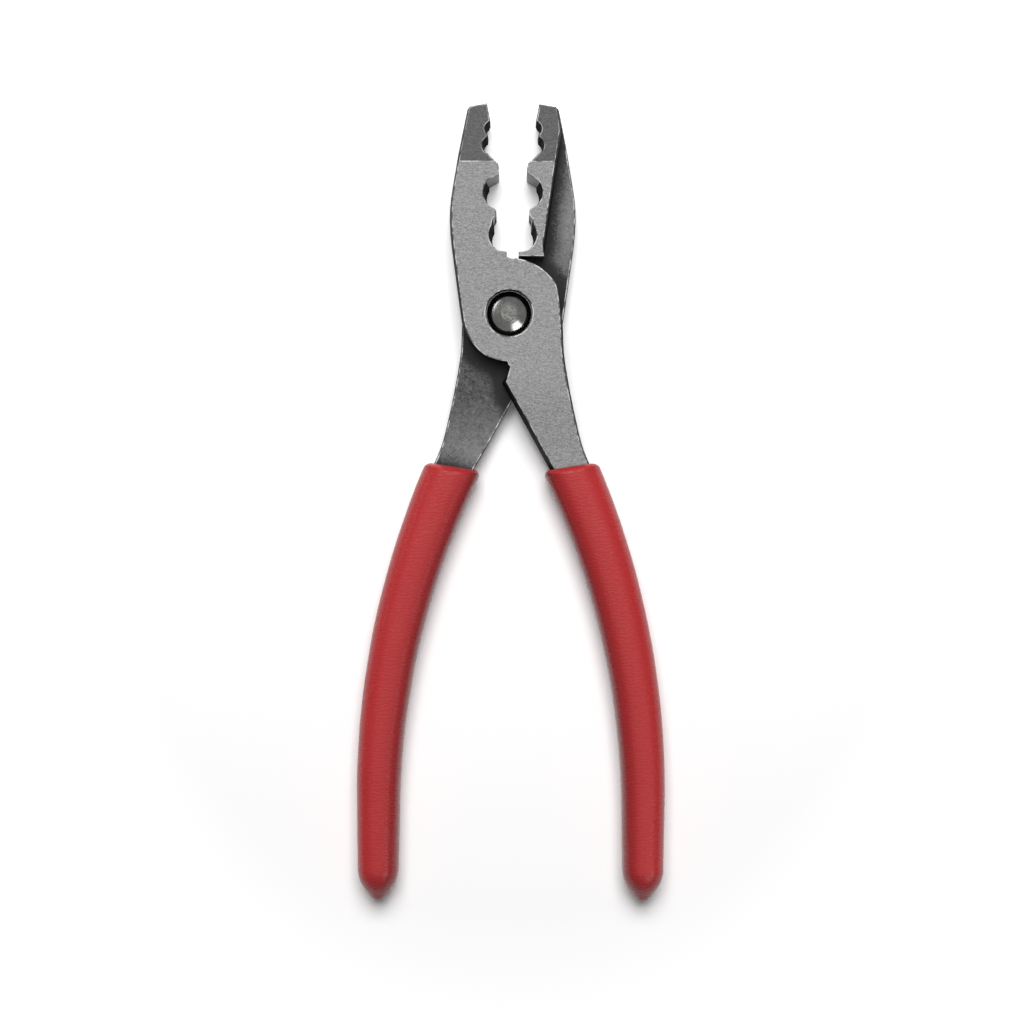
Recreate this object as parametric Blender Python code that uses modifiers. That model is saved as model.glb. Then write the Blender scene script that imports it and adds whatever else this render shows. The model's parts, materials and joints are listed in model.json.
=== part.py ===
"""Connector pliers: two lapped steel forgings on one rivet, each with a dipped vinyl grip.

The pliers lie on their rear face, a little open, with the jaws towards +Y. The origin is the middle of
their footprint. The two halves are one forging: the front half is the rear one turned half a turn about
the long axis of the tool, so each shape is written once, in the plan of a half: u runs from the tool's
centreline towards the half's own jaw, y from the rivet towards the jaw tips, and z from the half's ground
face inwards. The handle lies on the other side of the centreline, at negative u. The jaw mouth, the tip
recesses and the rivet seat are machined through both halves, so their cutters are shared.
"""

import math

import bmesh
import bpy
from mathutils import Matrix, Vector

# Joint
JOINT_THICKNESS = 0.0120  # over both lapped plates
LAP_GAP = 0.0003  # running gap between the plates
RIVET_OFFSET = 0.00085  # rivet axis, from the centreline towards the front half's jaw
EYE_RADIUS = 0.0122  # round end of the plate, below the rivet
EYE_DRAFTED_ARC = (-18, -58)  # degrees, from the jaw's edge round under the rivet
EYE_UPRIGHT_ARC = (-62, -88)
CROWN_RADIUS = 0.0139  # round end of the plate, above the rivet
CROWN_ARC = (140, 90)
CROWN_SIDE = (-0.0117, 0.0056)  # where the crown runs out into the shank's outer edge
DRAFT_ANGLE = 6.5  # degrees, slope of the forged walls
HEEL_DRAFT = 1.4  # the shank's inner wall slopes this much more than the others
SHARPEST_MITRE = 0.6  # limits how far the draft moves a sharp corner

# Jaws, as distances from the centreline (widths) and from the rivet (heights)
JAW_LENGTH = 0.0538
JAW_TIP_WIDTH = 0.0118
JAW_TIP_FALL = 0.0006  # the tip's end drops this much towards its outer corner
JAW_TIP_ROUND = 0.0012
JAW_TIP_ARC = (85, 15)
JAW_SHOULDER_WIDTH = 0.0145
JAW_SHOULDER_HEIGHT = 0.0378
JAW_BULGE_WIDTH = 0.0161
JAW_BULGE_HEIGHT = 0.0240
JAW_WAIST_WIDTH = 0.0141
JAW_WAIST_HEIGHT = 0.0065
JAW_EYE_ANGLE = -10  # degrees, where the jaw's edge runs into the eye
BLOCK_FOOT_WIDTH = 0.0079  # outer edge of the full-thickness jaw block, at its foot
BLOCK_TIP_WIDTH = 0.0136  # where that straight edge would reach the tip
BLOCK_CLEARANCE = 0.0005  # between the block's foot and the other half's crown
BLOCK_STEP = 0.0001  # the block stands back this much from the plate's edge at the tip
TIP_RECESS_LENGTH = 0.0154
TIP_RECESS_DEPTH = 0.0018

# Jaw mouth at the front face: half widths, heights, and arcs in degrees from the upper end to the lower
TIP_GAP = 0.0067
TIP_FLARE = 0.0002  # the mouth's cutter is this much wider beyond the tips
TIP_CREST_GAP = 0.0058
TIP_CREST_DROP = 0.0050  # below the tips
TIP_NEST_GAP = 0.0055  # the two small nests' centres
UPPER_TIP_NEST_DROP = 0.0069
UPPER_TIP_NEST_RADIUS = 0.0018
UPPER_TIP_NEST_ARC = (60, -52)
LOWER_TIP_NEST_DROP = 0.0111
LOWER_TIP_NEST_RADIUS = 0.0024
LOWER_TIP_NEST_ARC = (62, -68)
TOOTH_GAP = 0.0036  # crest of the big tooth
TOOTH_DROP = 0.0005  # from the foot of the tip recess to the tooth
TOOTH_LENGTH = 0.0028
TOOTH_CORNER = 0.0008
BIG_NEST_GAP = 0.0034
BIG_NEST_HEIGHT = 0.0306
BIG_NEST_RADIUS = 0.00425
BIG_NEST_ARC = (36, -72)
BIG_NEST_FLANK = 0.0064  # where the slanted flank over the big nest ends
BIG_NEST_FLANK_HEIGHT = 0.0336
SMALL_TOOTH_GAP = 0.0042
SMALL_TOOTH_TOP = 0.0261
SMALL_TOOTH_FOOT = 0.0247
ROUND_NEST_GAP = 0.0019
ROUND_NEST_HEIGHT = 0.0198
ROUND_NEST_RADIUS = 0.0043
ROUND_NEST_ARC = (34, -90)
ROUND_NEST_FLANK = 0.0052
ROUND_NEST_FLANK_HEIGHT = 0.0237
THROAT_GAP = 0.0015
THROAT_NOTCH_GAP = 0.0004  # the throat narrows to this at its floor
THROAT_NOTCH_DEPTH = 0.00045
THROAT_FLOOR_DROP = 0.00015  # below the top of the crown
NEST_TAPER = 0.0010  # the nests are this much shallower at the rear face
FLANK_TAPER = 0.0004
TIP_NEST_TAPER = 0.0006

# Heel and shank
HEEL_NOTCH = ((0.00092, -0.01308), (0.0005, -0.0135), (0.00067, -0.01435))  # where the eye ends
HEEL_WIDTH = 0.0026
HEEL_HEIGHT = -0.0173
FLANK_WIDTH = 0.0128  # outer edge of the shank beside the eye
FLANK_HEIGHT = -0.0020
SHANK_WIDTH = 0.0134
SHANK_HEIGHT = -0.0114
SHANK_FOOT_WIDTH = 0.0162
SHANK_FOOT_HEIGHT = -0.0262
GROUND_RAMP = (-0.0140, -0.0420)  # the ground face falls to the tang's between these heights
LAP_RAMP = (-0.0285, -0.0520)  # the lap face climbs, clear of where the closed shanks cross

# Handle, a bend that ends straight along Y
HANDLE_REACH = 0.0338  # centreline of the tool to the handle's straight end
HANDLE_BEND = 0.2060
BEND_END = -0.1250
GRIP_MOUTH = -0.0387
GRIP_END = -0.1496
TANG_THICKNESS = 0.0078
TANG_ROOT_WIDTH = 0.0098
TANG_END_WIDTH = 0.0064
TANG_LEAD = 0.0006  # the tang keeps to the handle's line this far above the mouth
TANG_END_CLEAR = 0.0095  # solid vinyl beyond the tang
BORE_LEAD = 0.0105  # the cut for a grip's bore starts this far above the mouth

# Grips
SLEEVE_FIT = 0.0003
GRIP_WALL = 0.0018
GRIP_LIP = 0.0018  # radius of the rolled mouth
GRIP_MOUTH_TILT = 9.0  # degrees between the mouth and the X axis
GRIP_MOUTH_BLEND = 0.0250
GRIP_NOSE = 0.0082  # length of the pointed end
GRIP_NOSE_FLAT = 0.08  # width left at the very end, as a share of the grip's
GRIP_ROUNDNESS = 2.6  # exponent of the oval section

# Rivet
RIVET_RADIUS = 0.0040
RIVET_FIT = 0.0001
RIVET_HEAD_RADIUS = 0.0056
RIVET_SEAT_GAP = 0.0004  # round the head
RIVET_SEAT_DEPTH = 0.0029
RIVET_FLAT_RADIUS = 0.0019
RIVET_DOME = 0.0021
RIVET_SUNK = 0.0002

# Fineness
ARC_STEP = 8.0  # degrees
EDGE_STEPS = 5
RAMP_STEPS = 12
LIP_RINGS = 4
GRIP_RINGS = 22
NOSE_RINGS = 9
GRIP_SIDES = 28
ROUND_SIDES = 48
DOME_STEPS = 6
OVERCUT = 0.0010  # cutters reach this far past the steel

MID = JOINT_THICKNESS / 2
LAP = MID - LAP_GAP / 2
TANG_LOW = MID - TANG_THICKNESS / 2
TANG_HIGH = MID + TANG_THICKNESS / 2
DRAFT = math.tan(math.radians(DRAFT_ANGLE))
EYE = Vector((RIVET_OFFSET, 0))  # centre of the round eye, in the plan of a half
BLOCK_FOOT = CROWN_RADIUS + BLOCK_CLEARANCE
TIP_STEP = JAW_LENGTH - TIP_RECESS_LENGTH
MOUTH_ANGLE = math.asin((GRIP_MOUTH - BEND_END) / HANDLE_BEND)
BEND_LENGTH = HANDLE_BEND * MOUTH_ANGLE
GRIP_LENGTH = BEND_LENGTH + BEND_END - GRIP_END
TANG_LENGTH = GRIP_LENGTH - TANG_END_CLEAR
RIVET_HEIGHT = -(JAW_LENGTH + GRIP_END) / 2  # puts the origin in the middle of the footprint


def arc(centre, radius, start, end):
    """Points on a circle from one angle to another, in degrees."""
    steps = max(2, math.ceil(abs(end - start) / ARC_STEP))
    angles = [math.radians(start + (end - start) * i / steps) for i in range(steps + 1)]
    return [Vector(centre) + radius * Vector((math.cos(a), math.sin(a))) for a in angles]


def smooth_through(stations, heading_in=None, heading_out=None):
    """A smooth edge through a few stations, both ends included, that starts and ends on given headings."""
    points = [Vector(p) for p in stations]
    first, last = points[1] - points[0], points[-1] - points[-2]
    before = points[1] - 2 * first.length * (heading_in or first).normalized()
    after = points[-2] + 2 * last.length * (heading_out or last).normalized()
    points = [before, *points, after]
    edge = []
    for a, b, c, d in zip(points, points[1:], points[2:], points[3:]):
        for i in range(EDGE_STEPS):
            t = i / EDGE_STEPS
            bend = (2 * a - 5 * b + 4 * c - d) * t**2 + (3 * b - a - 3 * c + d) * t**3
            edge.append((2 * b + (c - a) * t + bend) / 2)
    return [*edge, points[-2]]


def drafted(points, first=1.0, last=1.0):
    """Outline points with their share of the draft, from first to last along the edge."""
    return [(p, first + (last - first) * i / (len(points) - 1)) for i, p in enumerate(points)]


def inset(outline, heights):
    """A clockwise outline drawn in by each point's own share of the draft over a height."""
    moved = []
    for i, (point, share) in enumerate(outline):
        before = (point - outline[i - 1][0]).normalized()
        after = (outline[(i + 1) % len(outline)][0] - point).normalized()
        along = (before + after).normalized()
        inward = Vector((along.y, -along.x))
        mitre = max(along.dot(after), SHARPEST_MITRE)
        moved.append(point + inward * (share * DRAFT * heights[i] / mitre))
    return moved


def smooth_step(value, start, end):
    share = min(1.0, max(0.0, (value - start) / (end - start)))
    return share * share * (3 - 2 * share)


def ground_face(y):
    return TANG_LOW * smooth_step(y, *GROUND_RAMP)


def lap_face(y):
    return LAP + (TANG_HIGH - LAP) * smooth_step(y, *LAP_RAMP)


def handle(s, aside=0.0):
    """Plan point on the handle, s from the grip's mouth and aside towards the other handle."""
    turn = max(0.0, MOUTH_ANGLE - s / HANDLE_BEND)
    reach = HANDLE_REACH - HANDLE_BEND * (1 - math.cos(turn))
    y = BEND_END + HANDLE_BEND * math.sin(turn) - max(0.0, s - BEND_LENGTH)
    return Vector((aside * math.cos(turn) - reach, y - aside * math.sin(turn)))


def tang_half_width(s):
    return (TANG_ROOT_WIDTH + (TANG_END_WIDTH - TANG_ROOT_WIDTH) * max(0.0, s) / TANG_LENGTH) / 2


def tang_edges(lead, grow):
    """Inner edge, rounded end and outer edge of the tang, grown by a fit, from lead above the mouth."""
    end = TANG_LENGTH - TANG_END_WIDTH / 2
    stations = [-lead + (end + lead) * i / GRIP_RINGS for i in range(GRIP_RINGS + 1)]
    inner = [handle(s, tang_half_width(s) + grow) for s in stations]
    outer = [handle(s, -tang_half_width(s) - grow) for s in reversed(stations)]
    tip = arc(handle(end), tang_half_width(end) + grow, 0, -180)[1:-1]
    return inner, tip, outer


def jaw_edge():
    """Outer edge of the jaw at the lap face, from the tip's rounded corner down to the eye."""
    corner = (JAW_TIP_WIDTH - JAW_TIP_ROUND, JAW_LENGTH - JAW_TIP_FALL - JAW_TIP_ROUND)
    eye_angle = math.radians(JAW_EYE_ANGLE)
    side = smooth_through(
        [
            (JAW_TIP_WIDTH, corner[1]),
            (JAW_SHOULDER_WIDTH, JAW_SHOULDER_HEIGHT),
            (JAW_BULGE_WIDTH, JAW_BULGE_HEIGHT),
            (JAW_WAIST_WIDTH, JAW_WAIST_HEIGHT),
            EYE + EYE_RADIUS * Vector((math.cos(eye_angle), math.sin(eye_angle))),
        ]
    )
    return arc(corner, JAW_TIP_ROUND, *JAW_TIP_ARC) + side


def half_outline():
    """Clockwise plan of a half at its lap face, up to the centreline, with each point's draft."""
    inner, tip, outer = tang_edges(TANG_LEAD, 0)
    top = math.sqrt(CROWN_RADIUS**2 - EYE.x**2)
    crown = [p for p in arc(EYE, CROWN_RADIUS, *CROWN_ARC) if p.x < -EYE.x] + [Vector((0, top))]
    back = smooth_through(
        [
            outer[-1],
            (-SHANK_FOOT_WIDTH, SHANK_FOOT_HEIGHT),
            (-SHANK_WIDTH, SHANK_HEIGHT),
            (-FLANK_WIDTH, FLANK_HEIGHT),
            CROWN_SIDE,
            crown[0],
        ],
        outer[-1] - outer[-2],
        crown[1] - crown[0],
    )
    notch = [Vector(p) for p in HEEL_NOTCH]
    mouth_side = [Vector((0, JAW_LENGTH)), Vector((TIP_CREST_GAP, JAW_LENGTH))]
    outline = drafted(mouth_side, 0, 0)
    outline += drafted([Vector((TIP_GAP, JAW_LENGTH))] + jaw_edge())
    outline += drafted(arc(EYE, EYE_RADIUS, *EYE_DRAFTED_ARC), 1, 0)
    outline += drafted(arc(EYE, EYE_RADIUS, *EYE_UPRIGHT_ARC) + notch, 0, 0)
    outline += drafted([Vector((HEEL_WIDTH, HEEL_HEIGHT))] + inner, HEEL_DRAFT, 1)
    outline += drafted(tip + outer)
    split = len(back) - 2 * EDGE_STEPS
    outline += drafted(back[1:split])
    outline += drafted(back[split:-1], 1, 0)
    return outline + drafted(crown, 0, 0)


def block_outline():
    """Clockwise plan of the full-thickness jaw block at the lap face, reaching into the mouth."""

    def limit(y):
        share = (y - BLOCK_FOOT) / (JAW_LENGTH - BLOCK_FOOT)
        return BLOCK_FOOT_WIDTH + (BLOCK_TIP_WIDTH - BLOCK_FOOT_WIDTH) * share

    top = JAW_LENGTH - BLOCK_STEP
    inner = THROAT_GAP / 2
    edge = [p for p in jaw_edge() if p.y > BLOCK_FOOT + OVERCUT]
    outer = [Vector((min(p.x - BLOCK_STEP, limit(p.y)), min(p.y, top))) for p in edge]
    foot = [Vector((BLOCK_FOOT_WIDTH, BLOCK_FOOT)), Vector((inner, BLOCK_FOOT))]
    outline = drafted([Vector((inner, top)), Vector((TIP_CREST_GAP, top))], 0, 0)
    outline += drafted([Vector((TIP_GAP, top))] + outer)
    return outline + drafted(foot, 0, 0)


def mouth_profile(share):
    """One side of the jaw mouth from tip to throat; share is 0 at the front face and 1 at the rear face."""
    tip_taper = TIP_NEST_TAPER * share
    taper = NEST_TAPER * share
    flank_taper = FLANK_TAPER * share
    upper = (TIP_NEST_GAP, JAW_LENGTH - UPPER_TIP_NEST_DROP)
    lower = (TIP_NEST_GAP, JAW_LENGTH - LOWER_TIP_NEST_DROP)
    big = (BIG_NEST_GAP, BIG_NEST_HEIGHT)
    small = (ROUND_NEST_GAP, ROUND_NEST_HEIGHT)
    tooth_top = TIP_STEP - TOOTH_DROP
    floor = CROWN_RADIUS - THROAT_FLOOR_DROP
    profile = [(TIP_GAP + TIP_FLARE, JAW_LENGTH + OVERCUT)]
    profile += [(TIP_CREST_GAP, JAW_LENGTH - TIP_CREST_DROP)]
    profile += arc(upper, UPPER_TIP_NEST_RADIUS - tip_taper, *UPPER_TIP_NEST_ARC)
    profile += arc(lower, LOWER_TIP_NEST_RADIUS - tip_taper, *LOWER_TIP_NEST_ARC)
    profile += [(TIP_CREST_GAP - TOOTH_CORNER, TIP_STEP + TOOTH_CORNER)]
    profile += [(TOOTH_GAP + TOOTH_CORNER, tooth_top + TOOTH_CORNER / 2)]
    profile += [(TOOTH_GAP + TOOTH_CORNER / 4, tooth_top - TOOTH_CORNER / 4)]
    profile += [(TOOTH_GAP, tooth_top - TOOTH_CORNER), (TOOTH_GAP, tooth_top - TOOTH_LENGTH)]
    profile += [(BIG_NEST_FLANK - flank_taper, BIG_NEST_FLANK_HEIGHT)]
    profile += arc(big, BIG_NEST_RADIUS - taper, *BIG_NEST_ARC)
    profile += [(SMALL_TOOTH_GAP, SMALL_TOOTH_TOP), (SMALL_TOOTH_GAP, SMALL_TOOTH_FOOT)]
    profile += [(ROUND_NEST_FLANK - flank_taper, ROUND_NEST_FLANK_HEIGHT)]
    profile += arc(small, ROUND_NEST_RADIUS - taper, *ROUND_NEST_ARC)
    profile += [(THROAT_GAP, ROUND_NEST_HEIGHT - ROUND_NEST_RADIUS - flank_taper)]
    profile += [(THROAT_GAP, floor + THROAT_NOTCH_DEPTH), (THROAT_NOTCH_GAP, floor)]
    return [Vector(p) for p in profile]


def group_named(name):
    made = bpy.data.collections.new(name)
    bpy.context.scene.collection.children.link(made)
    return made


def finish(name, colour, roughness, metallic):
    """A plain Principled material."""
    made = bpy.data.materials.new(name)
    made.use_nodes = True
    shader = made.node_tree.nodes["Principled BSDF"]
    shader.inputs["Base Color"].default_value = (*colour, 1)
    shader.inputs["Roughness"].default_value = roughness
    shader.inputs["Metallic"].default_value = metallic
    return made


def loft(rings):
    """A closed skin over rings of equally many points, capped at both ends."""
    bm = bmesh.new()
    loops = [[bm.verts.new(point) for point in ring] for ring in rings]
    for lower, upper in zip(loops, loops[1:]):
        for i in range(len(lower)):
            bm.faces.new((lower[i - 1], lower[i], upper[i], upper[i - 1]))
    bm.faces.new(loops[0])
    bm.faces.new(loops[-1])
    return bm


def prism(outline, low, high):
    """A drafted prism, full size at high and drawn in at low."""
    narrow = inset(outline, [abs(high - low)] * len(outline))
    return loft([[(*p, low) for p in narrow], [(*p, high) for p, _ in outline]])


def new_object(name, bm, group):
    """A mesh object in flat triangles, which the Booleans cut cleanly."""
    bmesh.ops.recalc_face_normals(bm, faces=bm.faces)
    bmesh.ops.triangulate(bm, faces=bm.faces)
    mesh = bpy.data.meshes.new(name)
    bm.to_mesh(mesh)
    bm.free()
    made = bpy.data.objects.new(name, mesh)
    group.objects.link(made)
    return made


def cutter(name, bm, group, frame):
    made = new_object(name, bm, group)
    made.hide_render = True
    made.display_type = "WIRE"
    hold(made, frame)
    return made


def hold(piece, frame):
    """Parents a piece to its frame, which is on the rivet, while the plan starts at the centreline."""
    piece.parent = frame
    piece.location.x = RIVET_OFFSET * math.cos(frame.rotation_euler.y)


def boolean(piece, tool, operation):
    modifier = piece.modifiers.new(f"{operation.title()} {tool.name}", "BOOLEAN")
    modifier.operation = operation
    modifier.solver = "EXACT"
    modifier.object = tool


def bent_plate(outline, fit=0.0):
    """A drafted plate from ground face to lap face, bent along the shank, thicker by a fit on each side."""
    heights = [lap_face(p.y) - ground_face(p.y) for p, _ in outline]
    bm = loft([[(*p, 0) for p in inset(outline, heights)], [(*p, 1) for p, _ in outline]])
    top, foot = max(GROUND_RAMP + LAP_RAMP), min(GROUND_RAMP + LAP_RAMP)
    for i in range(RAMP_STEPS + 1):
        level = top + (foot - top) * i / RAMP_STEPS
        everything = [*bm.verts, *bm.edges, *bm.faces]
        bmesh.ops.bisect_plane(bm, geom=everything, plane_co=(0, level, 0), plane_no=(0, 1, 0))
    for vert in bm.verts:
        low, high = ground_face(vert.co.y) - fit, lap_face(vert.co.y) + fit
        vert.co.z = low + (high - low) * vert.co.z
    return bm


def jaw_block():
    """The jaw's second half of thickness, rooted a little way in the plate."""
    return prism(block_outline(), JOINT_THICKNESS, LAP - OVERCUT / 2)


def mouth_cutter():
    """The jaws' gap as one solid, a little wider at the front face."""
    rings = []
    for share, level in ((1, -OVERCUT), (0, JOINT_THICKNESS + OVERCUT)):
        side = mouth_profile(share)
        rings.append([(*p, level) for p in side] + [(-p.x, p.y, level) for p in reversed(side)])
    return loft(rings)


def box(low, high):
    """A box between two corners."""
    bm = bmesh.new()
    size = Vector(high) - Vector(low)
    place = Matrix.Translation((Vector(high) + Vector(low)) / 2) @ Matrix.Diagonal((*size, 1))
    bmesh.ops.create_cube(bm, size=1, matrix=place)
    return bm


def cylinder(centre_x, radius, low, high):
    bm = bmesh.new()
    place = Matrix.Translation((centre_x, 0, (low + high) / 2))
    size = {"radius1": radius, "radius2": radius, "depth": high - low}
    bmesh.ops.create_cone(bm, cap_ends=True, segments=ROUND_SIDES, matrix=place, **size)
    return bm


def machining(group, frame):
    """Cutters that both halves share, in the assembled tool's plan."""
    wide = JAW_BULGE_WIDTH + OVERCUT
    beyond = JAW_LENGTH + OVERCUT
    bottom, top = -OVERCUT, JOINT_THICKNESS + OVERCUT
    face = JOINT_THICKNESS - TIP_RECESS_DEPTH
    seat = JOINT_THICKNESS - RIVET_SEAT_DEPTH
    seat_radius = RIVET_HEAD_RADIUS + RIVET_SEAT_GAP
    shapes = {
        "mouth_cutter": mouth_cutter(),
        "front_tip_cutter": box((-wide, TIP_STEP, face), (wide, beyond, top)),
        "rear_tip_cutter": box((-wide, TIP_STEP, bottom), (wide, beyond, TIP_RECESS_DEPTH)),
        "rivet_bore_cutter": cylinder(-RIVET_OFFSET, RIVET_RADIUS + RIVET_FIT, bottom, top),
        "front_seat_cutter": cylinder(-RIVET_OFFSET, seat_radius, seat, top),
        "rear_seat_cutter": cylinder(-RIVET_OFFSET, seat_radius, bottom, RIVET_SEAT_DEPTH),
    }
    return [cutter(name, bm, group, frame) for name, bm in shapes.items()]


def forged_half(name, material, frame, shared, parts, cutters):
    """One half: the forged plate with its jaw block, machined after assembly."""
    half = new_object(name, bent_plate(half_outline()), parts)
    hold(half, frame)
    half.data.materials.append(material)
    boolean(half, cutter(f"{name}_block", jaw_block(), cutters, frame), "UNION")
    for tool in shared:
        boolean(half, tool, "DIFFERENCE")


def grip_rings():
    """Sections of a grip from its rolled mouth to its pointed end, as (s, shrink, scale)."""
    lip = [math.pi / 2 * (1 - i / LIP_RINGS) for i in range(LIP_RINGS)]
    rings = [(GRIP_LIP * (1 - math.sin(a)), GRIP_LIP * (1 - math.cos(a)), 1.0) for a in lip]
    body = GRIP_LENGTH - GRIP_NOSE - GRIP_LIP
    rings += [(GRIP_LIP + body * i / GRIP_RINGS, 0.0, 1.0) for i in range(GRIP_RINGS)]
    for i in range(NOSE_RINGS + 1):
        share = i / NOSE_RINGS
        rings.append((GRIP_LENGTH - GRIP_NOSE * (1 - share), 0.0, 1 - (1 - GRIP_NOSE_FLAT) * share**2))
    return rings


def oval(across, upright):
    """Points of an oval section between an ellipse and a rounded box."""

    def swollen(value):
        return math.copysign(abs(value) ** (2 / GRIP_ROUNDNESS), value)

    angles = [2 * math.pi * i / GRIP_SIDES for i in range(GRIP_SIDES)]
    return [(swollen(math.cos(a)) * across, swollen(math.sin(a)) * upright) for a in angles]


def grip(name, material, frame, parts, cutters):
    """A dipped vinyl grip over a tang: rolled mouth, oval body, pointed end."""
    coat = SLEEVE_FIT + GRIP_WALL
    rings = []
    for s, shrink, scale in grip_rings():
        centre = handle(s)
        turn = max(0.0, MOUTH_ANGLE - s / HANDLE_BEND)
        blend = max(0.0, 1 - s / GRIP_MOUTH_BLEND) ** 2
        lean = turn + (math.radians(GRIP_MOUTH_TILT) - MOUTH_ANGLE) * blend
        across = (tang_half_width(s) + coat - shrink) * scale / math.cos(turn - lean)
        upright = (TANG_THICKNESS / 2 + coat - shrink) * scale
        aside = Vector((math.cos(lean), -math.sin(lean)))
        rings.append([(*(centre + a * aside), MID + z) for a, z in oval(across, upright)])
    made = new_object(name, loft(rings), parts)
    hold(made, frame)
    made.data.materials.append(material)
    made.data.shade_smooth()
    inner, tip, outer = tang_edges(BORE_LEAD, SLEEVE_FIT)
    bore = bent_plate(drafted(inner + tip + outer), SLEEVE_FIT)
    boolean(made, cutter(f"{name}_bore", bore, cutters, frame), "DIFFERENCE")


def pivot_rivet(material, frame, parts):
    """The rivet, turned about its axis: a shallow dome with a flat middle at each end."""
    dome = [math.pi / 2 * i / DOME_STEPS for i in range(DOME_STEPS + 1)]
    swell = RIVET_HEAD_RADIUS - RIVET_FLAT_RADIUS
    top = JOINT_THICKNESS - RIVET_SUNK
    seat = JOINT_THICKNESS - RIVET_SEAT_DEPTH + RIVET_FIT
    head = [(RIVET_FLAT_RADIUS + swell * math.sin(a), top - RIVET_DOME * (1 - math.cos(a))) for a in dome]
    upper = [(0, top), *head, (RIVET_HEAD_RADIUS, seat), (RIVET_RADIUS, seat)]
    profile = upper + [(r, JOINT_THICKNESS - z) for r, z in reversed(upper)]
    bm = bmesh.new()
    verts = [bm.verts.new((r, 0, z)) for r, z in profile]
    for pair in zip(verts, verts[1:]):
        bm.edges.new(pair)
    mesh = bpy.data.meshes.new("pivot_rivet")
    bm.to_mesh(mesh)
    bm.free()
    made = bpy.data.objects.new("pivot_rivet", mesh)
    parts.objects.link(made)
    made.parent = frame
    mesh.materials.append(material)
    turned = made.modifiers.new("Turned", "SCREW")
    turned.steps = turned.render_steps = ROUND_SIDES
    turned.use_merge_vertices = True
    turned.merge_threshold = 0.00001


def half_frame(name, turned, group):
    """An empty on the rivet's axis that carries a half; the front half's is turned over."""
    made = bpy.data.objects.new(name, None)
    group.objects.link(made)
    made.location = (-RIVET_OFFSET, RIVET_HEIGHT, JOINT_THICKNESS if turned else 0)
    made.rotation_euler = (0, math.pi if turned else 0, 0)
    return made


def main():
    for old in list(bpy.data.objects):
        bpy.data.objects.remove(old, do_unlink=True)
    parts = group_named("connector_pliers")
    cutters = group_named("cutters")
    steel = finish("ground_forged_steel", (0.28, 0.28, 0.29), 0.42, 1.0)
    rivet_steel = finish("polished_rivet_steel", (0.22, 0.21, 0.20), 0.25, 1.0)
    vinyl = finish("red_dipped_vinyl", (0.42, 0.032, 0.038), 0.5, 0.0)
    rear = half_frame("rear_frame", False, parts)
    front = half_frame("front_frame", True, parts)
    shared = machining(cutters, rear)
    forged_half("rear_half", steel, rear, shared, parts, cutters)
    forged_half("front_half", steel, front, shared, parts, cutters)
    grip("left_grip", vinyl, rear, parts, cutters)
    grip("right_grip", vinyl, front, parts, cutters)
    pivot_rivet(rivet_steel, rear, parts)
    bpy.context.view_layer.update()


main()
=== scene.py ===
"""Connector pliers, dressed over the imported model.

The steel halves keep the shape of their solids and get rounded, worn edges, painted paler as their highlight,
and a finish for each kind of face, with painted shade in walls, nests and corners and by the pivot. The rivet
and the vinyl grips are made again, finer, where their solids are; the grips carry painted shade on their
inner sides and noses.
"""

import json
import math

import bmesh
import bpy
from bpy.props import FloatProperty, FloatVectorProperty, IntProperty, PointerProperty
from mathutils import Matrix, Vector, noise
from mathutils.geometry import intersect_point_line


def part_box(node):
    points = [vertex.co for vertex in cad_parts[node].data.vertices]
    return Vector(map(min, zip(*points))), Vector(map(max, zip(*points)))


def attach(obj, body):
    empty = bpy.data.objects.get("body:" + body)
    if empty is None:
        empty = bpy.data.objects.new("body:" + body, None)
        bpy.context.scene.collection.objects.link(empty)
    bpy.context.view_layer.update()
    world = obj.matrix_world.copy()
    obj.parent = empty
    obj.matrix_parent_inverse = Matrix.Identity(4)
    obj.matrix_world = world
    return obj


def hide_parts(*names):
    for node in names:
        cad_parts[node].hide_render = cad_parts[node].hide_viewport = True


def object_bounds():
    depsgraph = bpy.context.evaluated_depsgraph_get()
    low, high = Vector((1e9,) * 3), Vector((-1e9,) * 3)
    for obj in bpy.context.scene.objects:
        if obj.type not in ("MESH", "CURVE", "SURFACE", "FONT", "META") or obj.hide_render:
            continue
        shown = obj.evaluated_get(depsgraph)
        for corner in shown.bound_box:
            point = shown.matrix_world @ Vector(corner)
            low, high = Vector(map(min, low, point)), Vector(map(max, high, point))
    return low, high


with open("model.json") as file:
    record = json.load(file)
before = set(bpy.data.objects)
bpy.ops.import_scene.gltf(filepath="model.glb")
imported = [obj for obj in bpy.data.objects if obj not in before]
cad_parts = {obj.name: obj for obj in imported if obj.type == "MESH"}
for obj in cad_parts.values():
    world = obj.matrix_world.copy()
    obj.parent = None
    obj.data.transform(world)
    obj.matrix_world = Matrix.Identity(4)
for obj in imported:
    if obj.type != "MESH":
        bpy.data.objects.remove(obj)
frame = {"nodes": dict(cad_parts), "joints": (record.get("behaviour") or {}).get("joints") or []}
cad_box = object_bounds()

bl_info = {
    "name": "Connector Pliers",
    "version": (1, 0, 0),
    "blender": (4, 5, 0),
    "location": "3D View > Sidebar > Pliers",
    "description": "Dresses the packed connector pliers in steel and vinyl and lights them",
    "category": "Object",
}

MM = 0.001
PIVOT = Vector(frame["joints"][0]["pos_m"])
MIDDLE = cad_box[1][2] / 2  # the lap lies halfway up the tool
REAR_BODY, FRONT_BODY = "rear_half", "front_half"


def linear(hex_colour):
    """Linear RGB of an sRGB hex colour."""
    channels = [int(hex_colour[i : i + 2], 16) / 255 for i in (1, 3, 5)]
    return tuple(c / 12.92 if c <= 0.04045 else ((c + 0.055) / 1.055) ** 2.4 for c in channels)


def colour(label, about, hex_colour):
    """A colour property from an sRGB hex value."""
    return FloatVectorProperty(
        name=label, description=about, default=linear(hex_colour), subtype="COLOR", size=3, min=0, max=1
    )


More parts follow.
